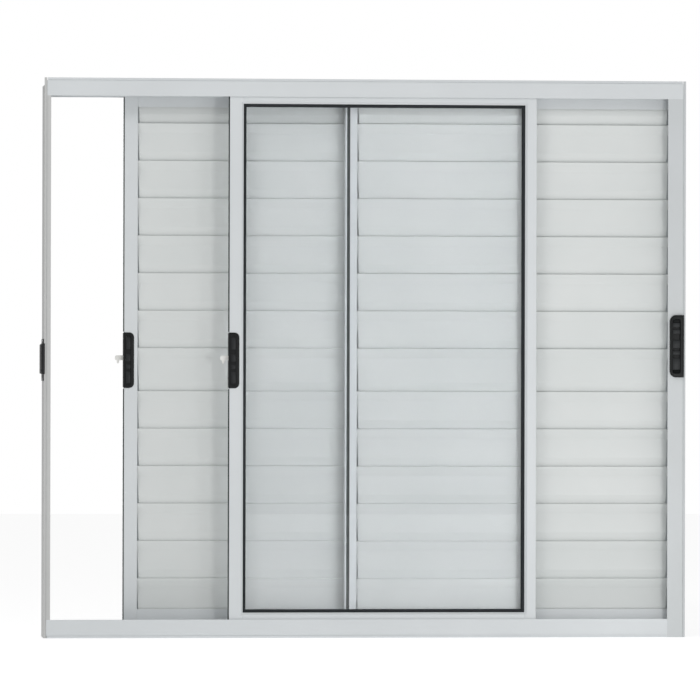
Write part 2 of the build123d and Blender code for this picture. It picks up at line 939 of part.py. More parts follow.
# Brush that closes the gap between the right shutter and the glass sash
with BuildPart() as shutter_right_brush:
    brush_left = shutter_right_left + brush_inset
    brush_face = middle_track - leaf_depth / 2
    block(
        (brush_left, brush_face - brush_proud, leaf_bottom),
        (brush_left + brush_width, brush_face + brush_depth, leaf_top),
    )
    cut_rail_notch(brush_left, brush_left + brush_width, middle_track)
shutter_right_brush.part.label = "shutter_right_brush"
export_step(shutter_right_brush.part, "parts/shutter_right_brush.step")



def stile_seal(outer, track):
    """Build the seal on a closing stile's edge: a strip above its latch and one below."""
    rear_edge = track + leaf_depth / 2 - seal_margin
    front_edge = track - leaf_depth / 2 + seal_margin
    with BuildPart() as piece:
        for low, high in (
            (rail_height + rail_notch_gap, latch_low - seal_latch_gap),
            (latch_high + seal_latch_gap, leaf_top),
        ):
            block((outer - seal_proud, front_edge, low), (outer, rear_edge, high))
    return piece.part


# Seals that close the gap between the latched stiles and the left jamb
for name, outer, track in (
    ("sash", sash_left, front_track),
    ("shutter_left", shutter_left_left, rear_track),
):
    with BuildPart() as seal:
        add(stile_seal(outer, track))
    seal.part.label = f"{name}_seal"
    export_step(seal.part, f"parts/{name}_seal.step")

# Rollers and the blocks that hold them, two under each leaf
leaves = {
    "sash": (sash_opening_left, sash_opening_right, front_track),
    "shutter_left": (
        shutter_left_left + shutter_face,
        shutter_left_right - meeting_face,
        rear_track,
    ),
    "shutter_right": (
        shutter_right_left + meeting_face,
        shutter_right_right - shutter_face,
        middle_track,
    ),
}
for name, (x_from, x_to, track) in leaves.items():
    with BuildPart() as roller_pair:
        add(rollers(x_from, x_to, track))
    roller_pair.part.label = f"{name}_rollers"
    export_step(roller_pair.part, f"parts/{name}_rollers.step")

    with BuildPart() as housing_pair:
        add(roller_housings(x_from, x_to, track))
    housing_pair.part.label = f"{name}_roller_housings"
    export_step(housing_pair.part, f"parts/{name}_roller_housings.step")

# Let-in latches of the glass sash and the left shutter
for name, outer, track in (
    ("sash", sash_left, front_track),
    ("shutter_left", shutter_left_left, rear_track),
):
    with BuildPart() as shell:
        add(latch_shell(outer, track))
    shell.part.label = f"{name}_latch_shell"
    export_step(shell.part, f"parts/{name}_latch_shell.step")

    with BuildPart() as lever:
        face = track - leaf_depth / 2
        add(
            latch_lever(
                outer + leaf_wall + latch_body_gap + latch_body_width / 2,
                latch_body_width - 2 * latch_wall - 2 * lever_clearance,
                latch_centre_height,
                face + latch_body_depth - latch_wall,
                face - latch_proud + lever_sink,
            )
        )
    lever.part.label = f"{name}_latch_lever"
    export_step(lever.part, f"parts/{name}_latch_lever.step")

    with BuildPart() as hook:
        add(latch_hook(outer, track))
    hook.part.label = f"{name}_latch_hook"
    export_step(hook.part, f"parts/{name}_latch_hook.step")

# Surface latch on the wide face of the right jamb
closing_latch_right = right_edge - closing_latch_edge
closing_latch_left = closing_latch_right - closing_latch_width
closing_pocket_middle = (closing_latch_left + closing_latch_right) / 2 - closing_pocket_shift
with BuildPart() as jamb_latch_shell:
    with BuildSketch(Plane.XZ.offset(-front)):
        pocket_plate(
            closing_latch_left,
            closing_latch_right,
            closing_latch_centre_height,
            closing_latch_height,
            -1,
        )
    extrude(amount=closing_latch_proud)
    fillet(faces().sort_by(Axis.Y)[0].edges(), closing_latch_edge_round)
    with BuildSketch(Plane.XZ.offset(closing_latch_proud - front)):
        with Locations((closing_pocket_middle, closing_latch_centre_height)):
            RectangleRounded(closing_pocket_width, closing_pocket_height, latch_pocket_corner)
    extrude(amount=closing_latch_floor - closing_latch_proud, mode=Mode.SUBTRACT)
jamb_latch_shell.part.label = "jamb_latch_shell"
export_step(jamb_latch_shell.part, "parts/jamb_latch_shell.step")

with BuildPart() as jamb_latch_lever:
    add(
        latch_lever(
            closing_pocket_middle,
            closing_pocket_width - 2 * lever_clearance,
            closing_latch_centre_height,
            front - closing_latch_floor,
            front - closing_latch_proud + lever_sink,
        )
    )
jamb_latch_lever.part.label = "jamb_latch_lever"
export_step(jamb_latch_lever.part, "parts/jamb_latch_lever.step")
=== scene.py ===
"""Looks of a sliding shuttered window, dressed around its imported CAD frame.

The scene is in metres, with +X to the right as seen from the room, +Y out through the wall,
+Z up and the origin in the middle of the sill's underside. The sizes of the window's pieces are
named in millimetres; the studio and the depths of the finishes' reliefs are in metres.
"""

import logging
import math
import random
from dataclasses import dataclass
from enum import Enum

import bmesh
import bpy
from mathutils import Matrix, Vector


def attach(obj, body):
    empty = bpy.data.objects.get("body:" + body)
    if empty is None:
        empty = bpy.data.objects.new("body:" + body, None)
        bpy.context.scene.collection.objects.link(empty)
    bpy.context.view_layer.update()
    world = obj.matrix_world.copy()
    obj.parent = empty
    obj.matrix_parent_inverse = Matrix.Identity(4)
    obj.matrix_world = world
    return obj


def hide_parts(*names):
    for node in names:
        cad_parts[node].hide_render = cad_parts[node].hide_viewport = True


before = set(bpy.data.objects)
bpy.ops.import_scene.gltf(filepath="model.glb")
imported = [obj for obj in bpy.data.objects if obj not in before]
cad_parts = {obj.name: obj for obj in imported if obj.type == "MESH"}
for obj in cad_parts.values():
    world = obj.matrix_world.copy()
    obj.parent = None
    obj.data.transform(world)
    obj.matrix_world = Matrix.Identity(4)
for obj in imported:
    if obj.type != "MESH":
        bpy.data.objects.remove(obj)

log = logging.getLogger("shuttered_window")
Point = tuple[float, float, float]
Flat = tuple[float, float]
Socket = bpy.types.NodeSocket
Mesh = bmesh.types.BMesh
Edge = bmesh.types.BMEdge
Material = bpy.types.Material

MM = 0.001
MERGE = 1e-6
SMOOTH_ANGLE = 35
CORNER_STEPS = 9
SOFT_SEGMENTS = 2
SCREW_STEPS = 16
SCREW_PROFILE = (
    (0.0, 0.72), (0.42, 0.7), (0.5, 1.0), (0.72, 0.92), (0.92, 0.62), (1.0, 0.15), (1.0, -0.3),
)
WHITE = (1.0, 1.0, 1.0, 1.0)
LEAF_DEPTH = 22.0
SASH_LEFT = -256.3
SHUTTER_LEFT_LEFT = -449.7
SHUTTER_RIGHT_LEFT = -37.1
CLOSING_FACE = 25.0
INNER_FACE = 22.5
FRONT_TRACK = -27.4
REAR_TRACK = 27.4
CLOSING_STILES = (
    ("sash", SASH_LEFT, FRONT_TRACK),
    ("shutter_left", SHUTTER_LEFT_LEFT, REAR_TRACK),
)
LEAF_TOP = 1021.0
LATCH_SPAN = (464.5, 571.5)
PILE_BOTTOM = 20.0
BRUSH_INSET = 3.0
BRUSH_WIDTH = 5.8
BRUSH_DEPTHS = (-11.6, -6.0)
SEAL_DEPTH_HALF = 9.0
SEAL_THICKNESS = 1.8
ROOT_BODY = "root"


class Grain(Enum):
    """Which way a profile was drawn through its die."""

    ALONG_WIDTH = "X"
    ALONG_HEIGHT = "Z"


class Slot(Enum):
    """Names of the record's material slots; settle takes one but does not use it."""

    ALUMINIUM = "white_aluminium"
    RUBBER = "black_rubber"
    PILE = "grey_pile"
    WHITE_PLASTIC = "white_plastic"
    DARK_PLASTIC = "dark_plastic"


def linear(colour: str) -> tuple[float, float, float, float]:
    """Turn a colour as it shows on a screen into what a shader takes, by the sRGB curve.

    Args:
        colour: Six hexadecimal digits.

    Returns:
        Red, green, blue and alpha for a colour socket.
    """
    channels = []
    for start in (0, 2, 4):
        shown = int(colour[start:start + 2], 16) / 255
        channels.append(shown / 12.92 if shown <= 0.04045 else ((shown + 0.055) / 1.055) ** 2.4)
    return (*channels, 1.0)


class Recipe:
    """The nodes of a material or of the world, with short calls to add and join them."""

    COLOUR_A = 6
    COLOUR_B = 7
    COLOUR_RESULT = 2
    NOISE_LOW = 0.3
    NOISE_HIGH = 0.7

    def __init__(
        self, owner: Material | bpy.types.World, output: str = "ShaderNodeOutputMaterial",
    ) -> None:
        """Start a tree that holds only its output.

        Args:
            owner: The new material or world.
            output: The type of its output node.
        """
        self.owner = owner
        owner.use_nodes = True
        self.tree = owner.node_tree
        self.tree.nodes.clear()
        self.output = self.tree.nodes.new(output)

    def node(self, kind: str, inputs: dict | None = None, **options: object) -> bpy.types.Node:
        """Add a node.

        Args:
            kind: The node's type.
            inputs: Values of its sockets, or sockets of other nodes to join to them.
            **options: Its own settings.

        Returns:
            The new node.
        """
        made = self.tree.nodes.new(kind)
        for option, value in options.items():
            setattr(made, option, value)
        for socket, value in (inputs or {}).items():
            if isinstance(value, Socket):
                self.tree.links.new(value, made.inputs[socket])
            else:
                made.inputs[socket].default_value = value
        return made

    def noise(self, scale: float, detail: float, stretch: Point = (1.0, 1.0, 1.0)) -> Socket:
        """Add a noise in the object's own coordinates.

        Args:
            scale: The noise's scale, in features per metre.
            detail: How many finer octaves it has.
            stretch: How much finer it is along X, Y and Z.

        Returns:
            The noise's value, from 0 to 1.
        """
        place = self.node("ShaderNodeTexCoord")
        mapping = self.node(
            "ShaderNodeMapping", {"Vector": place.outputs["Object"], "Scale": stretch}
        )
        noise = self.node(
            "ShaderNodeTexNoise",
            {"Vector": mapping.outputs["Vector"], "Scale": scale, "Detail": detail},
        )
        return noise.outputs["Fac"]

    def between(self, value: Socket, low: float, high: float) -> Socket:
        """Spread a noise's middle values between two numbers.

        Args:
            value: The noise.
            low: The result where the noise is low.
            high: The result where it is high.

        Returns:
            The spread value.
        """
        spread = self.node(
            "ShaderNodeMapRange",
            {
                "Value": value,
                "From Min": self.NOISE_LOW,
                "From Max": self.NOISE_HIGH,
                "To Min": low,
                "To Max": high,
            },
        )
        return spread.outputs["Result"]

    def tint(self, value: Socket, colour: str, deeper: str) -> Socket:
        """Mix two colours by a noise.

        Args:
            value: The noise.
            colour: The colour where it is low, as it shows on a screen.
            deeper: The colour where it is high.

        Returns:
            The mixed colour.
        """
        mix = self.node(
            "ShaderNodeMix",
            {
                "Factor": self.between(value, 0.0, 1.0),
                self.COLOUR_A: linear(colour),
                self.COLOUR_B: linear(deeper),
            },
            data_type="RGBA",
        )
        return mix.outputs[self.COLOUR_RESULT]

    def either(self, switch: Socket, off: Socket | float, on: float) -> Socket:
        """Choose between two values.

        Args:
            switch: 0 or 1.
            off: The value at 0.
            on: The value at 1.

        Returns:
            The chosen value.
        """
        mix = self.node("ShaderNodeMix", {"Factor": switch, "A": off, "B": on})
        return mix.outputs["Result"]

    def reckon(self, operation: str, first: Socket, second: Socket | float) -> Socket:
        """Work out one value from two.

        Args:
            operation: The sum or comparison.
            first: The first value.
            second: The second value.

        Returns:
            The result.
        """
        made = self.node("ShaderNodeMath", {0: first, 1: second}, operation=operation)
        return made.outputs["Value"]

    def bump(
        self, height: Socket, depth: float, strength: float, under: Socket | None = None,
    ) -> Socket:
        """Add a relief.

        Args:
            height: The relief, from 0 to 1.
            depth: Its depth in metres.
            strength: How strongly it shows.
            under: A normal that it lies on.

        Returns:
            The normal.
        """
        bump = self.node(
            "ShaderNodeBump", {"Height": height, "Distance": depth, "Strength": strength}
        )
        if under is not None:
            self.tree.links.new(under, bump.inputs["Normal"])
        return bump.outputs["Normal"]

    def finish(self, shader: Socket) -> Material | bpy.types.World:
        """Join the shader to the output.

        Args:
            shader: The finished shader.

        Returns:
            The finished material or world.
        """
        self.tree.links.new(shader, self.output.inputs["Surface"])
        return self.owner


@dataclass(frozen=True)
class Coating:
    """An opaque finish: a cloud of two close tones, a gloss that varies and a fine relief."""

    name: str
    colour: str
    deeper: str
    gloss: Flat
    specular: float = 0.5
    metallic: float = 0.0
    cloud_scale: float = 60.0
    texture_scale: float = 2200.0
    texture_detail: float = 2.0
    texture_depth: float = 0.00005
    texture_strength: float = 0.4

    def underlay(self, recipe: Recipe) -> Socket | None:
        """Add the relief under the fine one, of which a plain coating has none.

        Args:
            recipe: The finish's nodes; not used by a plain coating.

        Returns:
            Its normal, or nothing.
        """
        return None

    def material(self) -> Material:
        """Build the finish's nodes.

        Returns:
            The material.
        """
        recipe = Recipe(bpy.data.materials.new(self.name))
        cloud = recipe.noise(self.cloud_scale, detail=3.0)
        texture = recipe.noise(self.texture_scale, self.texture_detail)
        surface = recipe.node(
            "ShaderNodeBsdfPrincipled",
            {
                "Base Color": recipe.tint(cloud, self.colour, self.deeper),
                "Roughness": recipe.between(texture, *self.gloss),
                "Specular IOR Level": self.specular,
                "Metallic": self.metallic,
                "Normal": recipe.bump(
                    texture, self.texture_depth, self.texture_strength, self.underlay(recipe)
                ),
            },
        )
        return recipe.finish(surface.outputs["BSDF"])


@dataclass(frozen=True)
class PowderCoat(Coating):
    """White baked paint on drawn aluminium: soft gloss, a fine orange peel and faint die lines."""

    colour: str = "dde1e3"
    deeper: str = "d8dcde"
    gloss: Flat = (0.36, 0.44)
    grain: Grain = Grain.ALONG_HEIGHT
    specular: float = 0.42
    cloud_scale: float = 5.0
    texture_scale: float = 900.0
    texture_detail: float = 1.5
    texture_depth: float = 0.00008
    texture_strength: float = 0.35
    line_scale: float = 700.0
    line_depth: float = 0.00004
    line_stretch: float = 0.012

    def underlay(self, recipe: Recipe) -> Socket:
        """Add the die lines.

        Args:
            recipe: The paint's nodes.

        Returns:
            Their relief.
        """
        stretch = {
            Grain.ALONG_WIDTH: (self.line_stretch, 1.0, 1.0),
            Grain.ALONG_HEIGHT: (1.0, 1.0, self.line_stretch),
        }[self.grain]
        lines = recipe.noise(self.line_scale, detail=1.0, stretch=stretch)
        return recipe.bump(lines, self.line_depth, self.texture_strength)


@dataclass(frozen=True)
class ClearGlass:
    """Clear float glass with a slight wave and a faint smear, which lets the lamps through."""

    name: str = "clear_float_glass"
    colour: str = "f4f5f6"
    wave_scale: float = 6.0
    wave_stretch: float = 0.35
    wave_depth: float = 0.00002
    wave_strength: float = 0.2
    smear_scale: float = 9.0
    smear_roughness: float = 0.015
    refraction: float = 1.5

    def material(self) -> Material:
        """Build the glass's nodes.

        Returns:
            The material.
        """
        recipe = Recipe(bpy.data.materials.new(self.name))
        stretch = (1.0, 1.0, self.wave_stretch)
        wave = recipe.noise(self.wave_scale, detail=1.0, stretch=stretch)
        smear = recipe.noise(self.smear_scale, detail=4.0)
        glass = recipe.node(
            "ShaderNodeBsdfPrincipled",
            {
                "Base Color": linear(self.colour),
                "Roughness": recipe.between(smear, 0.0, self.smear_roughness),
                "Normal": recipe.bump(wave, self.wave_depth, self.wave_strength),
                "IOR": self.refraction,
                "Transmission Weight": 1.0,
            },
        )
        clear = recipe.node("ShaderNodeBsdfTransparent", {"Color": linear(self.colour)})
        shadow = recipe.node("ShaderNodeLightPath").outputs["Is Shadow Ray"]
        mix = recipe.node(
            "ShaderNodeMixShader", {0: shadow, 1: glass.outputs["BSDF"], 2: clear.outputs["BSDF"]}
        )
        return recipe.finish(mix.outputs["Shader"])


class Finishes:
    """Every finish of the window, each built once."""

    def __init__(self) -> None:
        """Build the materials: paints, two of them darkened with painted shade for the jambs,
        glass, mouldings and the screws' plated steel.
        """
        self.across = PowderCoat("white_paint_along_width", grain=Grain.ALONG_WIDTH).material()
        self.upright = PowderCoat("white_paint_along_height").material()
        # The two jambs take the same white paint in darker tones, which is painted shade: each tone
        # stands for the shade that falls on that jamb's face.
        self.left_jamb_with_painted_shade = PowderCoat("white_jamb_paint_left_with_painted_shade", "cbcccb", "c6c7c6").material()
        self.right_jamb_with_painted_shade = PowderCoat("white_jamb_paint_right_with_painted_shade", "cfd3d5", "cacecf").material()
        self.slat = PowderCoat(
            "white_slat_paint", "dfe2e1", "d9dddc", grain=Grain.ALONG_WIDTH
        ).material()
        self.glass = ClearGlass().material()
        self.steel = Coating(
            "zinc_plated_steel",
            "b9babb",
            "9d9ea0",
            (0.25, 0.42),
            metallic=1.0,
            cloud_scale=1500.0,
            texture_scale=1500.0,
            texture_detail=3.0,
            texture_depth=0.00003,
            texture_strength=0.3,
        ).material()
        moulded = Finishes.moulded
        self.rubber = moulded("black_glazing_rubber", "22272a", "1c2023", (0.55, 0.7), 0.35)
        self.pile = moulded("grey_weather_pile", "4a504f", "3a4040", (0.85, 0.95), 0.1)
        self.latch = moulded("black_latch_nylon", "121516", "0e1112", (0.42, 0.52), 0.25)
        self.inlay = moulded("black_inlay_nylon", "1c2022", "181b1d", (0.42, 0.52), 0.35)
        self.screw = moulded("black_screw_paint", "191a1b", "141516", (0.3, 0.4))
        self.hook = moulded("white_hook_nylon", "f6f6f3", "eeeeea", (0.35, 0.45))
        self.roller = moulded("grey_roller_nylon", "8f9294", "85888a", (0.4, 0.5))
        self.housing = moulded("white_housing_nylon", "d9dad8", "cfd0ce", (0.45, 0.55))
        self.keeper = moulded("dark_keeper_plastic", "1c1d1f", "151617", (0.45, 0.55), 0.4)

    @staticmethod
    def moulded(
        name: str, colour: str, deeper: str, gloss: Flat, specular: float = 0.5,
    ) -> Material:
        """Build the finish of a moulding, which has the usual fine texture.

        Args:
            name: The material's name.
            colour: Its colour, as it shows on a screen.
            deeper: The colour's darker tone.
            gloss: The lowest and the highest roughness.
            specular: How strongly it mirrors.

        Returns:
            The material.
        """
        return Coating(name, colour, deeper, gloss, specular).material()


def link(data: bpy.types.ID, name: str) -> bpy.types.Object:
    """Put a mesh, a lamp or a camera into the scene.

    Args:
        data: What the object holds.
        name: The object's name.

    Returns:
        The object.
    """
    held = bpy.data.objects.new(name, data)
    bpy.context.scene.collection.objects.link(held)
    return held


def dress(material: Material, *nodes: str) -> None:
    """Give CAD nodes their finish.

    Args:
        material: The finish.
        *nodes: The nodes' names.
    """
    for node in nodes:
        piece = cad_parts[node]
        piece.data.materials.clear()
        piece.data.materials.append(material)
        log.info("%s dressed in %s", node, material.name)


def dress_leaf(finishes: Finishes, leaf: str) -> None:
    """Give a leaf's stiles, rails and running gear their finishes.

    Args:
        finishes: The window's finishes.
        leaf: How the names of the leaf's nodes start.
    """
    dress(finishes.upright, f"{leaf}_stile_left", f"{leaf}_stile_right")
    dress(finishes.across, f"{leaf}_rail_top", f"{leaf}_rail_bottom")
    dress(finishes.roller, f"{leaf}_rollers")
    dress(finishes.housing, f"{leaf}_roller_housings")


def settle(
    mesh: Mesh,
    name: str,
    material: Material,
    slot: Slot,
    smooth: bool = False,
) -> bpy.types.Object:
    """Turn a finished bmesh into a piece that rides on the window.

    Args:
        mesh: The piece's mesh, in place in the row frame. It is freed.
        name: The piece's name.
        material: Its finish.
        slot: Not used.
        smooth: Whether its faces shade smoothly across soft bends.

    Returns:
        The piece.
    """
    bmesh.ops.recalc_face_normals(mesh, faces=mesh.faces)
    data = bpy.data.meshes.new(name)
    mesh.to_mesh(data)
    mesh.free()
    data.materials.append(material)
    piece = link(data, name)
    if smooth:
        data.polygons.foreach_set("use_smooth", [True] * len(data.polygons))
        data.set_sharp_from_angle(angle=math.radians(SMOOTH_ANGLE))
    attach(piece, ROOT_BODY)
    log.info("%s built with %d faces", name, len(data.polygons))
    return piece


def loft_loops(mesh: Mesh, loops: list[list[Point]], caps: bool = True) -> None:
    """Extrude a closed line from loop to loop.

    Args:
        mesh: The mesh that takes the faces.
        loops: The loops in millimetres, each a list of equally many points.
        caps: Whether the first and the last loop are closed with a face.
    """
    ring = [mesh.verts.new(Vector(point) * MM) for point in loops[0]]
    edges = [mesh.edges.new(pair) for pair in zip(ring, ring[1:] + ring[:1])]
    rims = list(edges)
    for loop in loops[1:]:
        edges, drawn = extrude_line(mesh, edges)
        for number, point in enumerate(loop):
            beside = [edge.other_vert(ring[number]) for edge in ring[number].link_edges]
            ring[number] = next(vert for vert in beside if vert in drawn)
            ring[number].co = Vector(point) * MM
    if caps:
        bmesh.ops.holes_fill(mesh, edges=rims + edges, sides=0)
    bmesh.ops.recalc_face_normals(mesh, faces=mesh.faces)


def extrude_line(mesh: Mesh, edges: list[Edge]) -> tuple[list[Edge], list[bmesh.types.BMVert]]:
    """Extrude a line of edges; the new ones still lie on it.

    Args:
        mesh: The mesh that has the edges.
        edges: The line's edges.

    Returns:
        The new line's edges and its vertices.
    """
    made = bmesh.ops.extrude_edge_only(mesh, edges=edges)["geom"]
    return (
        [part for part in made if isinstance(part, Edge)],
        [part for part in made if isinstance(part, bmesh.types.BMVert)],
    )


def rounded_outline(low: Flat, high: Flat, corners: list[float]) -> list[Flat]:
    """Draw a rectangle with rounded corners, anticlockwise from its lower right corner.

    Args:
        low: Its lowest corner.
        high: Its highest corner.
        corners: The corners' radii: lower right, upper right, upper left, lower left.

    Returns:
        The outline's points.
    """
    places = ((high[0], low[1]), (high[0], high[1]), (low[0], high[1]), (low[0], low[1]))
    signs = ((-1, 1), (-1, -1), (1, -1), (1, 1))
    points = []
    for number, ((across, up), (turn, rise), radius) in enumerate(zip(places, signs, corners)):
        middle = (across + turn * radius, up + rise * radius)
        for step in range(CORNER_STEPS + 1):
            angle = math.pi / 2 * (number - 1 + step / CORNER_STEPS)
            points.append(
                (middle[0] + radius * math.cos(angle), middle[1] + radius * math.sin(angle))
            )
    return points


def at_depth(outline: list[Flat], depth: float) -> list[Point]:
    """Place an outline of X and Z at one depth.

    Args:
        outline: The points.
        depth: Their Y.

    Returns:
        The points in space.
    """
    return [(across, depth, up) for across, up in outline]


def soft_block(mesh: Mesh, low: Point, high: Point, soft: float) -> None:
    """Add a block with softened edges.

    Args:
        mesh: The mesh that takes it.
        low: Its lowest corner in millimetres.
        high: Its highest corner.
        soft: The edges' radius.
    """
    middle = Vector([(a + b) / 2 * MM for a, b in zip(low, high)])
    size = Vector([abs(b - a) * MM for a, b in zip(low, high)])
    made = bmesh.ops.create_cube(
        mesh, size=1.0, matrix=Matrix.Translation(middle) @ Matrix.Diagonal((*size, 1.0))
    )
    soften(mesh, {edge for vert in made["verts"] for edge in vert.link_edges}, soft)


def soften(mesh: Mesh, edges: set[Edge], radius: float) -> None:
    """Round edges off.

    Args:
        mesh: The mesh that has them.
        edges: The edges.
        radius: Their radius in millimetres.
    """
    bmesh.ops.bevel(
        mesh,
        geom=list(edges),
        offset=radius * MM,
        segments=SOFT_SEGMENTS,
        profile=0.5,
        affect="EDGES",
        material=-1,
    )


def screw_pair(middle: Point, offset: float, radius: float, rise: float) -> Mesh:
    """Build two pan-headed screws with a round recess, which face left.

    A point of their profile gives its shares of the heads' radius and height.

    Args:
        middle: The place between them on the face that they bear on, in millimetres.
        offset: How far each lies above or below it.
        radius: The heads' radius.
        rise: The heads' height.

    Returns:
        Their mesh.
    """
    pair = bmesh.new()
    turn = Vector((-1, 0, 0)).to_track_quat("Z", "X")
    for side in (-1, 1):
        part = bmesh.new()
        verts = [
            part.verts.new(Vector((radius * across, 0.0, rise * up)) * MM)
            for across, up in SCREW_PROFILE
        ]
        edges = [part.edges.new(ends) for ends in zip(verts, verts[1:])]
        bmesh.ops.spin(
            part,
            geom=verts + edges,
            cent=(0.0, 0.0, 0.0),
            axis=(0.0, 0.0, 1.0),
            angle=math.tau,
            steps=SCREW_STEPS,
            use_merge=True,
        )
        bmesh.ops.remove_doubles(part, verts=part.verts, dist=MERGE)
        rim = [edge for edge in part.edges if edge.is_boundary]
        bmesh.ops.holes_fill(part, edges=rim, sides=0)
        bmesh.ops.recalc_face_normals(part, faces=part.faces)
        place = Vector(middle) + Vector((0.0, 0.0, side * offset))
        there = Matrix.LocRotScale(place * MM, turn, None)
        bmesh.ops.transform(part, matrix=there, verts=part.verts)
        join(pair, part)
    return pair


def join(mesh: Mesh, part: Mesh) -> None:
    """Copy a finished part into a mesh and free it.

    Args:
        mesh: The mesh that takes it.
        part: The part.
    """
    holder = bpy.data.meshes.new("part")
    part.to_mesh(holder)
    part.free()
    mesh.from_mesh(holder)
    bpy.data.meshes.remove(holder)


@dataclass
class OuterFrame:
    """The multi-track frame: head, sill, two jambs and the keeper box on the left jamb."""

    finishes: Finishes
    width: float = 1205.0
    height: float = 1044.0
    front: float = -41.9
    strip_width: float = 4.2
    strip_set_back: float = 1.2
    strip_end_gap: float = 6.2
    strip_toe: Flat = (0.25, 0.3)
    strip_crest: Flat = (0.3, 0.2)
    crest_set_back: float = 0.15
    keeper_outer: float = -607.2
    keeper_depth_half: float = 36.0
    keeper_height: float = 518.0
    keeper_box_low: float = -27.0
    keeper_box_high: float = 32.0
    keeper_tab_half: float = 39.0
    keeper_tab: float = 1.2
    keeper_soft: float = 0.3
    keeper_screw_offset: float = 35.5
    keeper_slope: float = 4.0
    keeper_lap: float = 1.4
    keeper_lap_front: float = -42.6
    keeper_lap_inset: float = 1.0
    screw_radius: float = 3.3
    screw_rise: float = 1.3

    def build(self) -> None:
        """Dress the frame's members, and add the edge strips and the keeper box."""
        dress(self.finishes.across, "head_track", "sill_track")
        # The jambs take the white paint darkened with painted shade.
        dress(self.finishes.left_jamb_with_painted_shade, "jamb_left")
        dress(self.finishes.right_jamb_with_painted_shade, "jamb_right")
        self.edge_strips()
        self.keeper()

    def wedge(self) -> list[Flat]:
        """Draw an edge strip's section.

        Returns:
            Its points: how far in from the frame's edge, and how deep.
        """
        back = self.front + self.strip_set_back
        crest = self.front + self.crest_set_back
        return [
            (0.0, back),
            (self.strip_toe[0], back - self.strip_toe[1]),
            (self.strip_width - self.strip_crest[0], crest),
            (self.strip_width, crest + self.strip_crest[1]),
            (self.strip_width, back),
        ]

    def edge_strips(self) -> None:
        """Add the sloped strip along each outer edge of the frame's face."""
        half = self.width / 2
        across = half - self.strip_end_gap
        # The side strips take the jambs' paints, darkened with painted shade.
        for name, edge, inward, level, finish in (
            ("head_edge_strip", self.height, -1, True, self.finishes.across),
            ("sill_edge_strip", 0.0, 1, True, self.finishes.across),
            ("left_edge_strip", -half, 1, False, self.finishes.left_jamb_with_painted_shade),
            ("right_edge_strip", half, -1, False, self.finishes.right_jamb_with_painted_shade),
        ):
            section = [(edge + inward * inset, depth) for inset, depth in self.wedge()]
            if level:
                loops = [[(end, depth, up) for up, depth in section] for end in (-across, across)]
            else:
                ends = (0.0, self.height)
                loops = [[(side, depth, end) for side, depth in section] for end in ends]
            mesh = bmesh.new()
            loft_loops(mesh, loops)
            settle(mesh, name, finish, Slot.ALUMINIUM)

    def keeper(self) -> None:
        """Build the keeper box, which laps over the jamb's front edge, and its tab with two screws.
        """
        wall = -self.width / 2
        middle = self.keeper_height
        low = middle + self.keeper_box_low
        high = middle + self.keeper_box_high
        inset = self.keeper_lap_inset
        mesh = bmesh.new()
        outline = [
            (wall, low),
            (wall, high),
            (self.keeper_outer, high - self.keeper_slope),
            (self.keeper_outer, low + self.keeper_slope / 2),
        ]
        depths = (-self.keeper_depth_half, self.keeper_depth_half)
        loft_loops(mesh, [at_depth(outline, depth) for depth in depths])
        soft_block(
            mesh,
            (self.keeper_outer + self.keeper_slope / 2, self.keeper_lap_front, low + inset),
            (wall + self.keeper_lap, -self.keeper_depth_half + inset, high - inset),
            self.keeper_soft,
        )
        soft_block(
            mesh,
            (wall - self.keeper_tab, -self.keeper_depth_half, middle - self.keeper_tab_half),
            (wall, self.keeper_depth_half, middle + self.keeper_tab_half),
            self.keeper_soft,
        )
        piece = settle(mesh, "keeper_box", self.finishes.keeper, Slot.ALUMINIUM)
        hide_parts("latch_keeper")
        tab_face = (wall - self.keeper_tab, 0.0, middle)
        screws = screw_pair(
            tab_face, self.keeper_screw_offset, self.screw_radius, self.screw_rise
        )
        settle(screws, "keeper_screws", self.finishes.steel, Slot.ALUMINIUM, smooth=True)


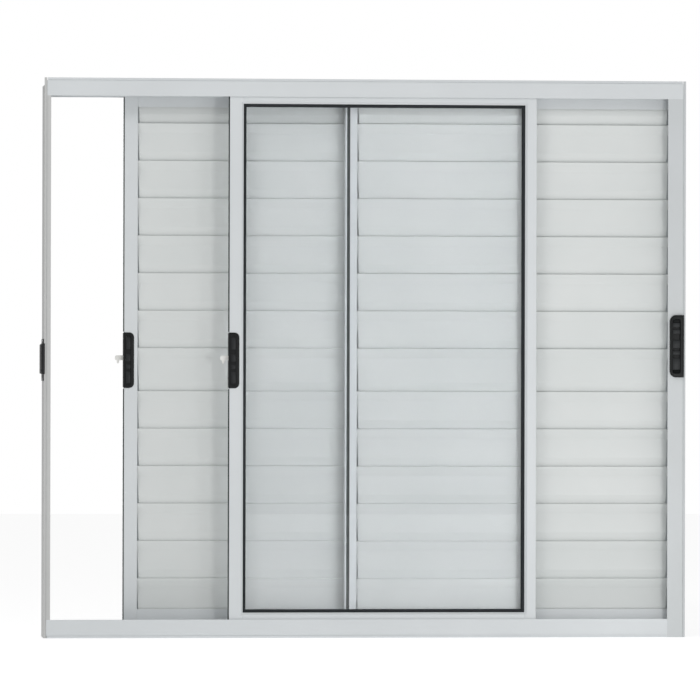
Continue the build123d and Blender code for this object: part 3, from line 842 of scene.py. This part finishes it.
@dataclass
class PileStrip:
    """A strip of brush pile: a dense core with rows of leaning tufts over it."""

    finishes: Finishes
    name: str
    node: str
    low: Point
    high: Point
    facing: Point
    latch_span: Flat | None = None
    pitch: float = 1.3
    rows: int = 3
    core_drop: float = 0.9
    core_soft: float = 0.2
    rooted: float = 0.4
    tuft: float = 0.55
    scatter: float = 0.3
    shortest: float = 0.65
    lean: float = 0.5
    lean_across: float = 0.2
    section_rows: int = 12

    def build(self) -> None:
        """Build the core and the tufts, and let them stand for the CAD strip."""
        mesh = bmesh.new()
        draw = random.Random(self.name)
        spans = [(self.low[2], self.high[2])]
        if self.latch_span:
            spans = [(self.low[2], self.latch_span[0]), (self.latch_span[1], self.high[2])]
        for bottom, top in spans:
            self.add_core(mesh, bottom, top)
            count = int((top - bottom) / self.pitch)
            for first in range(0, count, self.section_rows):
                part = bmesh.new()
                for number in range(first, min(first + self.section_rows, count)):
                    for row in range(self.rows):
                        self.add_tuft(part, draw, row, bottom + number * self.pitch)
                join(mesh, part)
        strip = settle(mesh, self.name, self.finishes.pile, Slot.PILE)
        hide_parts(self.node)

    def add_core(self, mesh: Mesh, bottom: float, top: float) -> None:
        """Add the dense core that the tufts stand in.

        Args:
            mesh: The strip's mesh.
            bottom: Its lowest height.
            top: Its highest height.
        """
        low, high = Vector((*self.low[:2], bottom)), Vector((*self.high[:2], top))
        for axis, way in enumerate(self.facing):
            low[axis] += self.core_drop * max(-way, 0)
            high[axis] -= self.core_drop * max(way, 0)
        soft_block(mesh, tuple(low), tuple(high), self.core_soft)

    def add_tuft(self, part: Mesh, draw: random.Random, row: int, height: float) -> None:
        """Add one tapered tuft that leans a little.

        Args:
            part: The short section of the strip that takes it.
            draw: The strip's random numbers.
            row: Its row across the strip.
            height: Where its step along the strip starts.
        """
        facing = Vector(self.facing)
        reach = [abs(axis) for axis in facing].index(1)
        across = 1 - reach
        wide = self.high[across] - self.low[across]
        tip = self.low[reach] if facing[reach] < 0 else self.high[reach]
        scattered = (0.5 - self.scatter, 0.5 + self.scatter)
        foot = Vector((0.0, 0.0, height + draw.uniform(*scattered) * self.pitch))
        foot[reach] = tip
        foot[across] = self.low[across] + wide * (row + draw.uniform(*scattered)) / self.rows
        foot -= facing * (self.core_drop + self.rooted)
        stand = facing * (self.core_drop + self.rooted) * draw.uniform(self.shortest, 1.0)
        stand[2] = draw.uniform(-self.lean, self.lean)
        stand[across] = draw.uniform(-self.lean_across, self.lean_across)
        spin = Matrix.Rotation(draw.uniform(0.0, math.tau), 3, "Z")
        turn = stand.to_track_quat("Z", "Y").to_matrix() @ spin
        bmesh.ops.create_cone(
            part,
            segments=3,
            cap_ends=False,
            cap_tris=False,
            radius1=self.tuft * MM,
            radius2=0.0,
            depth=stand.length * MM,
            matrix=Matrix.Translation((foot + stand / 2) * MM) @ turn.to_4x4(),
        )


@dataclass
class GlassSash:
    """The glazed leaf that runs in the front track.

    A point of its gasket's section says how far it lies in from the opening's edge, and how far
    behind the gasket's front.
    """

    finishes: Finishes
    opening_low: Flat = (-230.3, 47.0)
    opening_high: Flat = (299.7, 997.5)
    gasket_front: float = -28.4
    gasket_section: tuple[Flat, ...] = (
        (-5.9, 0.1), (0.1, 0.1), (0.6, -0.5), (1.6, -0.8), (2.8, -0.6), (4.2, 0.3), (5.4, 1.5),
        (5.9, 2.4), (5.9, 2.95), (-2.1, 2.95), (-2.1, 7.05), (5.9, 7.05), (5.9, 7.8), (5.2, 9.0),
        (3.6, 9.7), (0.1, 9.9), (-5.9, 9.9),
    )

    def build(self) -> None:
        """Dress the sash's members, its glass and its running gear, and build its gasket."""
        dress_leaf(self.finishes, "sash")
        dress(self.finishes.glass, "sash_glass")
        self.gasket()

    def gasket(self) -> None:
        """Build the glazing rubber: a mitred ring whose lip slopes down to the glass."""
        mesh = bmesh.new()
        loops = []
        for inset, depth in (*self.gasket_section, self.gasket_section[0]):
            left, right = self.opening_low[0] + inset, self.opening_high[0] - inset
            bottom, top = self.opening_low[1] + inset, self.opening_high[1] - inset
            outline = [(left, bottom), (right, bottom), (right, top), (left, top)]
            loops.append(at_depth(outline, self.gasket_front + depth))
        loft_loops(mesh, loops, caps=False)
        bmesh.ops.remove_doubles(mesh, verts=mesh.verts, dist=MERGE)
        piece = settle(mesh, "glazing_rubber", self.finishes.rubber, Slot.RUBBER, smooth=True)
        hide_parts("sash_gasket")


@dataclass
class LouvredShutter:
    """A leaf of fixed folded slats between two stiles and two rails."""

    finishes: Finishes
    name: str
    track: float
    left: float
    left_face: float
    right_face: float
    width: float = 636.0
    bottom: float = 12.0
    bottom_rail: float = 40.0
    top_rail: float = 29.0
    pitch: float = 70.2
    middle_extra: float = 10.3
    wall: float = 1.3
    lip: float = 20.0
    lip_return: float = 6.0
    slope: float = 33.0
    slope_depth: float = 10.0
    foot_depth: float = 10.5
    overlap: float = 12.0
    set_back: float = 1.8
    first_rise: float = 58.0
    entry: float = 9.0
    end_gap: float = 0.8
    end_gap_foot: float = 4.0
    floor: float = 36.4
    rail_entry: float = 13.0
    hem_round: float = 1.6
    bend_round: float = 9.0
    bend_steps: int = 5

    def build(self) -> None:
        """Dress the shutter's members and its running gear, and build its slats."""
        dress_leaf(self.finishes, self.name)
        self.slats()

    def rows(self) -> list[Flat]:
        """List the slats from the lowest up.

        Returns:
            Each slat's top edge and how much of it shows.
        """
        lowest = self.bottom + self.bottom_rail + self.first_rise
        daylight_top = LEAF_TOP - self.top_rail
        count = int((daylight_top - self.middle_extra - lowest) // self.pitch) + 2
        rows = []
        top = lowest
        for number in range(count):
            extra = self.middle_extra if number == count // 2 - 1 else 0.0
            top += extra
            rows.append((top, self.pitch + extra))
            top += self.pitch
        return rows

    def rounded_line(self, points: list[Flat], radii: list[float]) -> list[Flat]:
        """Round the inner points of a line.

        Args:
            points: The line's points.
            radii: One radius for each inner point.

        Returns:
            The rounded line.
        """
        line = [points[0]]
        for before, corner, after, radius in zip(points, points[1:], points[2:], radii):
            inward = (Vector(before) - Vector(corner)).normalized()
            onward = (Vector(after) - Vector(corner)).normalized()
            half = inward.angle(onward) / 2
            trim = radius / math.tan(half)
            middle = Vector(corner) + (inward + onward).normalized() * (radius / math.sin(half))
            start = Vector(corner) + inward * trim - middle
            end = Vector(corner) + onward * trim - middle
            for step in range(self.bend_steps + 1):
                share = step / self.bend_steps
                line.append(tuple(middle + start.slerp(end, share)))
        line.append(points[-1])
        return line

    def clipped(self, line: list[Flat]) -> list[Flat]:
        """Cut a line off at the top rail's web and at the bottom rail's.

        Args:
            line: Depths and heights.

        Returns:
            The part of the line between the two webs.
        """
        ceiling = LEAF_TOP - self.top_rail + self.rail_entry
        kept = []
        for first, second in zip(line, line[1:]):
            if self.floor <= first[1] <= ceiling:
                kept.append(first)
            for limit in (ceiling, self.floor):
                if (first[1] - limit) * (second[1] - limit) < 0:
                    share = (limit - first[1]) / (second[1] - first[1])
                    kept.append((first[0] + (second[0] - first[0]) * share, limit))
        if line[-1][1] >= self.floor:
            kept.append(line[-1])
        return kept

    def section(self, top: float, shown: float) -> list[Flat]:
        """Draw a slat's front surface as depths and heights, from its hem down.

        Args:
            top: The slat's top edge.
            shown: How much of it shows.

        Returns:
            The line's points.
        """
        face = self.track - LEAF_DEPTH / 2 + self.set_back
        lip_foot = top - self.lip
        slope_foot = lip_foot - self.slope - (shown - self.pitch)
        points = [
            (face + self.lip_return, top),
            (face, top),
            (face, lip_foot),
            (face + self.slope_depth, slope_foot),
            (face + self.foot_depth, top - shown - self.overlap),
        ]
        radii = [self.hem_round, self.bend_round, self.bend_round]
        return self.clipped(self.rounded_line(points, radii))

    def add_slat(self, mesh: Mesh, top: float, shown: float) -> None:
        """Draw one slat's front surface down from its hem, fold by fold, the lower part narrower.

        Args:
            mesh: The mesh that takes it.
            top: The slat's top edge.
            shown: How much of it shows.
        """
        lip_foot = top - self.lip
        fall = lip_foot - (top - shown - self.overlap)
        middle = self.left + (self.width + self.left_face - self.right_face) / 2
        half = (self.width - self.left_face - self.right_face) / 2
        line = self.section(top, shown)
        sides = []
        for _, up in line:
            share = max((lip_foot - up) / fall, 0.0)
            sides.append(half - self.end_gap - (self.end_gap_foot - self.end_gap) * share)
        reaches = [-sides[0], sides[0]]
        if line[0][1] >= lip_foot:
            reaches = [-half - self.entry, *reaches, half + self.entry]
        depth, up = line[0]
        verts = [mesh.verts.new(Vector((middle + reach, depth, up)) * MM) for reach in reaches]
        edges = [mesh.edges.new(pair) for pair in zip(verts, verts[1:])]
        about = Matrix.Translation((-middle * MM, 0.0, 0.0))
        for number, (before, after) in enumerate(zip(line, line[1:])):
            if after[1] < lip_foot:
                edges = [max(edges, key=lambda edge: edge.calc_length())]
            edges, verts = extrude_line(mesh, edges)
            step = Vector((0.0, after[0] - before[0], after[1] - before[1])) * MM
            taper = Matrix.Diagonal((sides[number + 1] / sides[number], 1.0, 1.0, 1.0))
            bmesh.ops.transform(
                mesh, matrix=Matrix.Translation(step) @ taper, space=about, verts=verts
            )

    def slats(self) -> None:
        """Build the whole set of slats from folded sheet."""
        mesh = bmesh.new()
        for top, shown in self.rows():
            self.add_slat(mesh, top, shown)
        bmesh.ops.recalc_face_normals(mesh, faces=mesh.faces)
        mesh.normal_update()
        bmesh.ops.solidify(mesh, geom=mesh.faces, thickness=self.wall * MM)
        name = f"{self.name}_folded_slats"
        piece = settle(mesh, name, self.finishes.slat, Slot.ALUMINIUM, smooth=True)
        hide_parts(f"{self.name}_slats")


@dataclass
class LatchCase:
    """A latch's black case: a plate with two large corners and a pocket with a slider.

    A row of its slider or inlays gives the block's lowest and highest place from the middle,
    and how far it lies under the plate's face. A row of its scoop gives the share of the
    pocket's depth, and how far in the wall is there from the pocket's sides and ends.
    """

    finishes: Finishes
    leaf: str
    left: float
    face: float
    centre: float = 518.0
    width: float = 19.8
    height: float = 104.0
    proud: float = 1.4
    pocket_inset: float = 4.1
    pocket_width: float = 9.4
    pocket_height: float = 93.6
    pocket_depth: float = 9.6
    edge_soft: float = 0.6
    edge_steps: int = 3
    round_left: bool = False
    corner: float = 9.0
    small_corner: float = 1.2
    least_corner: float = 0.3
    pocket_corner: float = 3.6
    pocket_least_corner: float = 0.8
    pocket_rim: float = 0.35
    block_soft: float = 0.45
    block_side_gap: float = 0.5
    block_root: float = 0.1
    scoop: tuple[Point, ...] = (
        (0.35, 0.1, 0.9), (0.6, 0.2, 2.6), (0.82, 0.35, 5.6), (0.95, 0.6, 9.0), (1.0, 1.1, 12.0),
    )
    slider: tuple[Point, ...] = ((-2.0, 11.0, 0.8), (-16.0, -8.0, 1.3))
    inlays: tuple[Point, ...] = ((20.5, 42.5, 0.5), (-43.0, -21.5, 0.5))

    def outline(self, inset: float) -> list[Flat]:
        """Draw the plate's outline.

        Args:
            inset: How far in from its edge.

        Returns:
            The outline's points.
        """
        large = max(self.corner - inset, self.least_corner)
        small = max(self.small_corner - inset, self.least_corner)
        radii = [large, large, small, small]
        if self.round_left:
            radii.reverse()
        half = self.height / 2 - inset
        return rounded_outline(
            (self.left + inset, self.centre - half),
            (self.left + self.width - inset, self.centre + half),
            radii,
        )

    def pocket(self, inset: float, end_inset: float) -> list[Flat]:
        """Draw the pocket's outline.

        Args:
            inset: How far in from its sides.
            end_inset: How far in from its ends.

        Returns:
            The outline's points.
        """
        half = self.pocket_height / 2 - end_inset
        left = self.left + self.pocket_inset
        radius = max(self.pocket_corner - inset / 2, self.pocket_least_corner)
        return rounded_outline(
            (left + inset, self.centre - half),
            (left + self.pocket_width - inset, self.centre + half),
            [radius] * 4,
        )

    def case_mesh(self) -> Mesh:
        """Build the plate and its scooped pocket.

        Returns:
            Their mesh.
        """
        top = self.face - self.proud
        soft = self.edge_soft
        rim = self.pocket_rim
        loops = [at_depth(self.outline(0.0), self.face)]
        for step in range(self.edge_steps + 1):
            angle = math.pi / 2 * step / self.edge_steps
            outline = self.outline(soft * (1 - math.cos(angle)))
            loops.append(at_depth(outline, top + soft * (1 - math.sin(angle))))
        loops.append(at_depth(self.pocket(-rim, -rim), top))
        loops.append(at_depth(self.pocket(0.0, 0.0), top + rim))
        for share, inset, end_inset in self.scoop:
            loops.append(at_depth(self.pocket(inset, end_inset), top + self.pocket_depth * share))
        mesh = bmesh.new()
        loft_loops(mesh, loops)
        return mesh

    def blocks(self, rows: tuple[Point, ...]) -> Mesh:
        """Build soft-edged blocks that stand in the pocket.

        Args:
            rows: The blocks' places.

        Returns:
            Their mesh.
        """
        top = self.face - self.proud
        left = self.left + self.pocket_inset + self.block_side_gap
        right = left + self.pocket_width - self.block_side_gap * 2
        root = top + self.pocket_depth + self.block_root
        mesh = bmesh.new()
        for low, high, sink in rows:
            nearest = (left, top + sink, self.centre + low)
            farthest = (right, root, self.centre + high)
            soft_block(mesh, nearest, farthest, self.block_soft)
        return mesh

    def place(self, mesh: Mesh) -> None:
        """Settle the case, its slider and its inlays.

        Args:
            mesh: The case's finished mesh.
        """
        name = f"{self.leaf}_latch"
        inlay = self.finishes.inlay
        plastic = Slot.DARK_PLASTIC
        case = settle(mesh, f"{name}_case", self.finishes.latch, plastic, smooth=True)
        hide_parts(f"{name}_shell")
        slider = self.blocks(self.slider)
        slider = settle(slider, f"{name}_slider", inlay, plastic, smooth=True)
        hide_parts(f"{name}_lever")
        settle(self.blocks(self.inlays), f"{name}_inlays", inlay, plastic, smooth=True)


@dataclass
class LetInLatch(LatchCase):
    """A latch let into a leaf's closing stile, with its side flange, screws and hook.

    A point of the hook's section says how far it lies right of the tip and above the middle.
    """

    flange: float = 1.4
    flange_half: float = 50.8
    flange_soft: float = 0.25
    flange_gap: float = 0.02
    flange_lap: float = 0.5
    screw_offset: float = 33.5
    screw_radius: float = 2.9
    screw_rise: float = 0.6
    hook_reach: float = 16.5
    hook_half: float = 1.5
    hook_soft: float = 0.25
    hook_section: tuple[Flat, ...] = (
        (23.9, 0.0), (23.9, 9.0), (3.0, 9.0), (0.9, 8.1), (0.0, 6.0), (0.0, 2.0), (0.8, 0.6),
        (3.0, 0.0), (4.0, -5.4), (4.8, -6.0), (6.2, -6.0), (7.0, -5.4), (8.2, 0.0),
    )

    def build(self) -> None:
        """Build the case with its flange and slider, the screws and the hook."""
        outer = self.left + self.flange
        mesh = self.case_mesh()
        soft_block(
            mesh,
            (self.left, self.face - self.flange_lap, self.centre - self.flange_half),
            (outer - self.flange_gap, self.face + LEAF_DEPTH, self.centre + self.flange_half),
            self.flange_soft,
        )
        self.place(mesh)
        self.screws()
        self.hook(outer)

    def screws(self) -> None:
        """Add the two black screws of the flange."""
        middle = (self.left, self.face + LEAF_DEPTH / 2, self.centre)
        pair = screw_pair(middle, self.screw_offset, self.screw_radius, self.screw_rise)
        name = f"{self.leaf}_latch_screws"
        settle(pair, name, self.finishes.screw, Slot.DARK_PLASTIC, smooth=True)

    def hook(self, outer: float) -> None:
        """Build the white hook with its soft edges.

        Args:
            outer: Where the stile's outer edge is.
        """
        tip = outer - self.hook_reach
        track = self.face + LEAF_DEPTH / 2
        outline = [(tip + across, self.centre + up) for across, up in self.hook_section]
        depths = (track - self.hook_half, track + self.hook_half)
        mesh = bmesh.new()
        loft_loops(mesh, [at_depth(outline, depth) for depth in depths])
        rims = {
            edge for edge in mesh.edges if abs(edge.verts[0].co.y - edge.verts[1].co.y) < MERGE
        }
        soften(mesh, rims, self.hook_soft)
        name = f"{self.leaf}_hook"
        piece = settle(mesh, name, self.finishes.hook, Slot.WHITE_PLASTIC, smooth=True)
        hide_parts(f"{self.leaf}_latch_hook")


@dataclass
class JambLatch(LatchCase):
    """The larger latch that stands on the right jamb's wide face."""

    leaf: str = "jamb"
    left: float = 572.5
    face: float = -41.9
    centre: float = 546.5
    width: float = 26.4
    height: float = 117.0
    proud: float = 7.0
    pocket_inset: float = 4.5
    pocket_width: float = 15.0
    pocket_height: float = 102.0
    pocket_depth: float = 5.5
    edge_soft: float = 2.2
    round_left: bool = True
    corner: float = 12.0
    slider: tuple[Point, ...] = ((-3.4, 11.0, 0.8), (-16.0, -9.0, 1.6))
    inlays: tuple[Point, ...] = ((36.0, 44.0, 1.6), (23.6, 31.5, 1.2), (-44.0, -22.8, 1.2))

    def build(self) -> None:
        """Build the case with its slider."""
        self.place(self.case_mesh())


@dataclass(frozen=True)
class Lamp:
    """A soft rectangular lamp: its place, its width and height, and its power in watts."""

    name: str
    place: Point
    size: Flat
    power: float

    def hang(self, aim: Point) -> None:
        """Hang the lamp so that it faces the window.

        Args:
            aim: The place that it faces.
        """
        data = bpy.data.lights.new(self.name, "AREA")
        data.shape = "RECTANGLE"
        data.size, data.size_y = self.size
        data.energy = self.power
        place = Vector(self.place)
        facing = (Vector(aim) - place).to_track_quat("-Z", "Y")
        link(data, self.name).matrix_world = Matrix.LocRotScale(place, facing, None)


@dataclass
class Studio:
    """The pale floor, the soft lamps, the white surround and the camera, in metres."""

    surround_light: float = 0.475
    mirrored_light: float = 0.45
    floor_half: float = 9.0
    floor_colour: str = "eeeeee"
    floor_speckle: str = "e9e9e9"
    floor_speckle_scale: float = 40.0
    floor_roughness: float = 0.9
    floor_glow: float = 0.56
    floor_bounce: float = 0.3
    lamps: tuple[Lamp, ...] = (
        Lamp("key_lamp", (1.06, -3.05, 0.4), (0.46, 0.5), power=12.8),
        Lamp("fill_lamp", (-1.3, -2.2, 2.4), (1.0, 0.8), power=14.0),
        Lamp("low_lamp", (0.64, -1.05, 0.12), (0.16, 0.18), power=0.95),
    )
    aim: Point = (0.0, 0.0, 0.52)
    camera_aim: Point = (-0.0307, -0.0419, 0.538)
    camera_distance: float = 12.0
    camera_yaw: float = 5.5
    camera_roll: float = 0.14
    camera_reach: float = 60.0
    lens: float = 330.2
    sensor: float = 36.0

    def build(self) -> None:
        """Set the whole studio."""
        self.floor()
        self.world()
        for lamp in self.lamps:
            lamp.hang(self.aim)
        self.camera()
        bpy.context.scene.view_settings.view_transform = "Standard"

    def floor(self) -> None:
        """Lay a pale floor that shows white where the lamps reach it and keeps the shadow."""
        mesh = bmesh.new()
        bmesh.ops.create_grid(mesh, x_segments=1, y_segments=1, size=self.floor_half)
        data = bpy.data.meshes.new("floor")
        mesh.to_mesh(data)
        mesh.free()
        recipe = Recipe(bpy.data.materials.new("pale_floor"))
        speckle = recipe.noise(self.floor_speckle_scale, detail=3.0)
        ground = recipe.node(
            "ShaderNodeBsdfPrincipled",
            {
                "Base Color": recipe.tint(speckle, self.floor_colour, self.floor_speckle),
                "Roughness": self.floor_roughness,
                "Specular IOR Level": 0.0,
            },
        )
        seen = recipe.node("ShaderNodeLightPath").outputs["Is Camera Ray"]
        strength = recipe.either(seen, self.floor_bounce, self.floor_glow)
        glow = recipe.node("ShaderNodeEmission", {"Color": WHITE, "Strength": strength})
        both = recipe.node(
            "ShaderNodeAddShader", {0: ground.outputs["BSDF"], 1: glow.outputs["Emission"]}
        )
        data.materials.append(recipe.finish(both.outputs["Shader"]))
        link(data, "floor")

    def world(self) -> None:
        """Surround the window with an even light that the camera sees as white."""
        recipe = Recipe(bpy.data.worlds.new("white_surround"), "ShaderNodeOutputWorld")
        ray = recipe.node("ShaderNodeLightPath").outputs
        unlit = recipe.reckon("LESS_THAN", ray["Diffuse Depth"], 0.5)
        sharp = recipe.reckon("MAXIMUM", ray["Is Transmission Ray"], ray["Is Glossy Ray"])
        mirrored = recipe.reckon("MULTIPLY", sharp, unlit)
        seen = recipe.reckon("MAXIMUM", ray["Is Camera Ray"], ray["Is Transmission Ray"])
        bounces = recipe.reckon("ADD", ray["Diffuse Depth"], ray["Glossy Depth"])
        shown = recipe.reckon("MULTIPLY", seen, recipe.reckon("LESS_THAN", bounces, 0.5))
        unseen = recipe.either(mirrored, self.surround_light, self.mirrored_light)
        strength = recipe.either(shown, unseen, 1.0)
        sky = recipe.node("ShaderNodeBackground", {"Color": WHITE, "Strength": strength})
        bpy.context.scene.world = recipe.finish(sky.outputs["Background"])

    def camera(self) -> None:
        """Set the camera at the photograph's viewing angle."""
        yaw = math.radians(self.camera_yaw)
        direction = Vector((math.sin(yaw), math.cos(yaw), 0.0))
        place = Vector(self.camera_aim) - direction * self.camera_distance
        data = bpy.data.cameras.new("camera")
        data.lens = self.lens
        data.sensor_width = self.sensor
        data.clip_end = self.camera_reach
        camera = link(data, "camera")
        turn = Matrix.LocRotScale(place, direction.to_track_quat("-Z", "Y"), None)
        camera.matrix_world = turn @ Matrix.Rotation(math.radians(self.camera_roll), 4, "Z")
        bpy.context.scene.camera = camera


def pile_strips(finishes: Finishes) -> list[PileStrip]:
    """List the window's brush pile: one strip on the right shutter, and the two seals.

    Args:
        finishes: The window's finishes.

    Returns:
        The strips, ready to build.
    """
    left = SHUTTER_RIGHT_LEFT + BRUSH_INSET
    strips = [
        PileStrip(
            finishes,
            "brush_pile",
            "shutter_right_brush",
            (left, BRUSH_DEPTHS[0], PILE_BOTTOM),
            (left + BRUSH_WIDTH, BRUSH_DEPTHS[1], LEAF_TOP),
            (0, -1, 0),
        )
    ]
    for leaf, outer, track in CLOSING_STILES:
        strips.append(
            PileStrip(
                finishes,
                f"{leaf}_seal_pile",
                f"{leaf}_seal",
                (outer - SEAL_THICKNESS, track - SEAL_DEPTH_HALF, PILE_BOTTOM),
                (outer, track + SEAL_DEPTH_HALF, LEAF_TOP),
                (-1, 0, 0),
                latch_span=LATCH_SPAN,
                pitch=1.6,
                rows=7,
            )
        )
    return strips


def main() -> None:
    """Build the window's looks and the studio, and note both sizes."""
    logging.basicConfig(level=logging.INFO, format="%(message)s")
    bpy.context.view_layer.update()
    finishes = Finishes()
    OuterFrame(finishes).build()
    GlassSash(finishes).build()
    wide, narrow = CLOSING_FACE, INNER_FACE
    LouvredShutter(finishes, "shutter_left", REAR_TRACK, SHUTTER_LEFT_LEFT, wide, narrow).build()
    LouvredShutter(finishes, "shutter_right", 0.0, SHUTTER_RIGHT_LEFT, narrow, wide).build()
    for strip in pile_strips(finishes):
        strip.build()
    for leaf, outer, track in CLOSING_STILES:
        LetInLatch(finishes, leaf, outer - LetInLatch.flange, track - LEAF_DEPTH / 2).build()
    JambLatch(finishes).build()
    Studio().build()


if __name__ == "__main__":
    main()
